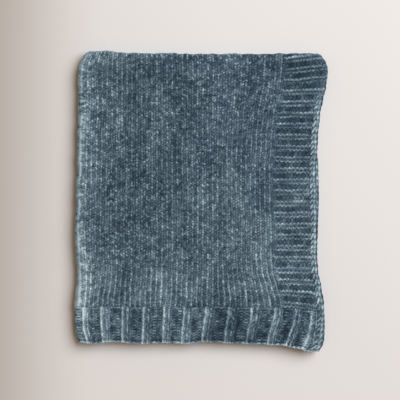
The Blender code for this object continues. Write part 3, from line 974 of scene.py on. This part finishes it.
# The pieces: areas of the one cloth, each finely stitched where it shows. Each row gives its
# name, places across and along, every how many of them its back keeps, and seams kept level.
topSeam, sideSeam = ("along", halfLength), ("across", halfWidth)
pieces = (
    ("throw_body_right", rightColumns, bodyRows, (8, 12), (topSeam,)),
    ("throw_body_left", leftColumns, bodyRows, (4, 12), (topSeam, sideSeam)),
    ("throw_side_band", bandColumns, bodyRows, (8, 12), (topSeam,)),
    ("throw_ribbing", upperColumns, ribRows, (8, 8), (sideSeam,)),
    ("throw_back_right", backColumns, farRows, (4, 6), (topSeam, sideSeam)),
    ("throw_back_left", farBackColumns, farRows, (4, 6), (topSeam, sideSeam)),
    ("throw_underside", farUndersideColumns, hiddenRows, (6, 6), (topSeam, sideSeam)),
)
sampleAcross, sampleAlong = np.meshgrid(np.linspace(0.0, throw["width"], 400),
                                        np.linspace(0.0, throw["length"], 400))
outlineCorner = folded(sampleAcross, sampleAlong, 0.0).reshape(-1, 3).min(axis=0)
yarn = chenilleMaterial()
made = []
for name, acrossPlaces, alongPlaces, every, seams in pieces:
    piece = slab(name, acrossPlaces, alongPlaces, every, seams)
    piece.data.materials.append(yarn)
    made.append((piece, acrossPlaces[-1] - acrossPlaces[0], alongPlaces[-1] - alongPlaces[0]))
    print("stage: made", name, len(piece.data.polygons), "faces")


def pointsOf(piece):
    # one row of x, y and z for each point of the mesh
    points = np.empty(len(piece.data.vertices) * 3, dtype=np.float32)
    piece.data.vertices.foreach_get("co", points)
    return points.reshape(-1, 3)


# The folded stack is laid where the solid lies: its box is centred on the solid's.
low, high = (np.array(corner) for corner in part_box("knit_throw"))
madeLow = np.min([pointsOf(piece).min(axis=0) for piece, _, _ in made], axis=0)
madeHigh = np.max([pointsOf(piece).max(axis=0) for piece, _, _ in made], axis=0)
shift = (low + high) / 2 - (madeLow + madeHigh) / 2
shift[2] = low[2] - madeLow[2]
for piece, width, length in made:
    points = pointsOf(piece) + shift
    piece.data.vertices.foreach_set("co", points.astype(np.float32).ravel())
    piece.data.update()
    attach(piece, "root")
    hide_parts("knit_throw")
print("stage: laid at", shift, sum(len(p.data.polygons) for p, _, _ in made), "faces")

# Floor, camera and lights. The picture is 400 by 400 pixels.
view = {
    "pixel": 0.00261,          # metres to a pixel at the height of the upper face
    "picture": 400,
    "height": 3.4,             # of the camera above the floor
    "middle": (200.7, 201.0),  # pixel of the throw's middle
}

# The paper's painted shade: it darkens towards the left and a little towards the right.
paper = {
    "halfSize": 6.0,
    "colour": "#e7e7e8",
    "paintedShadeColour": "#b1aba5",
    "leftFrom": -0.25,         # metres from the middle
    "leftTo": -0.68,
    "lean": 0.045,             # how far the tone leans to the left for each metre up
    "rightFrom": 0.05,
    "rightTo": 0.50,
    "rightDrop": 0.035,
}


def floorMaterial():
    # graded backdrop paper, matt and pale, with painted shade: its tone deepens smoothly towards the left,
    # and a little towards the right, where the light falls off
    material = bpy.data.materials.new("gradedPaper")
    material.use_nodes = True
    tree = material.node_tree
    place = addNode(tree, "ShaderNodeTexCoord")
    split = addNode(tree, "ShaderNodeSeparateXYZ", {}, {"Vector": place.outputs["Object"]})
    leaning = addNode(tree, "ShaderNodeVectorMath", {"operation": "DOT_PRODUCT"}, {
        0: place.outputs["Object"], 1: (1.0, -paper["lean"], 0.0)})
    eased = {"interpolation_type": "SMOOTHSTEP"}
    left = addNode(tree, "ShaderNodeMapRange", eased, {
        "Value": leaning.outputs["Value"], "From Min": paper["leftFrom"], "From Max": paper["leftTo"],
        "To Min": 0.0, "To Max": 1.0})
    right = addNode(tree, "ShaderNodeMapRange", eased, {
        "Value": split.outputs["X"], "From Min": paper["rightFrom"], "From Max": paper["rightTo"],
        "To Min": 1.0, "To Max": 1 - paper["rightDrop"]})
    graded = addNode(tree, "ShaderNodeMix", {"data_type": "RGBA"}, {
        0: left.outputs[0], 6: srgb(paper["colour"]), 7: srgb(paper["paintedShadeColour"])})
    colour = addNode(tree, "ShaderNodeVectorMath", {"operation": "SCALE"}, {
        0: graded.outputs[2], "Scale": right.outputs[0]})
    shader = tree.nodes["Principled BSDF"]
    tree.links.new(colour.outputs[0], shader.inputs["Base Color"])
    shader.inputs["Roughness"].default_value = 0.95
    shader.inputs["Specular IOR Level"].default_value = 0.1
    return material


def buildFloor():
    # one flat square, far wider than the picture
    mesh = bpy.data.meshes.new("floor")
    size = paper["halfSize"]
    corners = [(-size, -size, 0), (size, -size, 0), (size, size, 0), (-size, size, 0)]
    mesh.from_pydata(corners, [], [(0, 1, 2, 3)])
    mesh.materials.append(floorMaterial())
    floor = bpy.data.objects.new("floor", mesh)
    bpy.context.scene.collection.objects.link(floor)


def buildCamera():
    # straight above, with the angle that spans the picture at the height of the upper face
    data = bpy.data.cameras.new("camera")
    camera = bpy.data.objects.new("camera", data)
    bpy.context.scene.collection.objects.link(camera)
    across = view["pixel"] * view["picture"]
    data.sensor_fit = "HORIZONTAL"
    data.angle = 2 * math.atan(across / 2 / (view["height"] - stackHeight))
    x = (view["picture"] / 2 - view["middle"][0]) * view["pixel"]
    y = (view["middle"][1] - view["picture"] / 2) * view["pixel"]
    camera.location = (x, y, view["height"])
    data.clip_end = 50.0
    bpy.context.scene.camera = camera


lamps = {
    "keyPlace": (3.40, 1.95, 4.55),
    "keyAim": (0.0, 0.0, 0.0),
    "keyPower": 416.0,
    "keySize": 5.2,
    "keyColour": "#f8fcff",
    "skyColour": "#ffdab4",
    "skyStrength": 0.285,
}


def buildLights():
    # one big soft disk from the upper right, and a weak warm sky that fills the shadow
    data = bpy.data.lights.new("softKey", "AREA")
    data.shape = "DISK"
    data.energy = lamps["keyPower"]
    data.size = lamps["keySize"]
    data.color = srgb(lamps["keyColour"])[:3]
    light = bpy.data.objects.new("softKey", data)
    light.location = lamps["keyPlace"]
    aim = Vector(lamps["keyAim"]) - Vector(lamps["keyPlace"])
    light.rotation_euler = aim.to_track_quat("-Z", "Y").to_euler()
    bpy.context.scene.collection.objects.link(light)
    world = bpy.data.worlds.new("studio")
    world.use_nodes = True
    sky = world.node_tree.nodes["Background"]
    sky.inputs["Color"].default_value = srgb(lamps["skyColour"])
    sky.inputs["Strength"].default_value = lamps["skyStrength"]
    bpy.context.scene.world = world


buildFloor()
buildCamera()
buildLights()
bpy.context.scene.view_settings.view_transform = "Standard"

print("stage: finished")
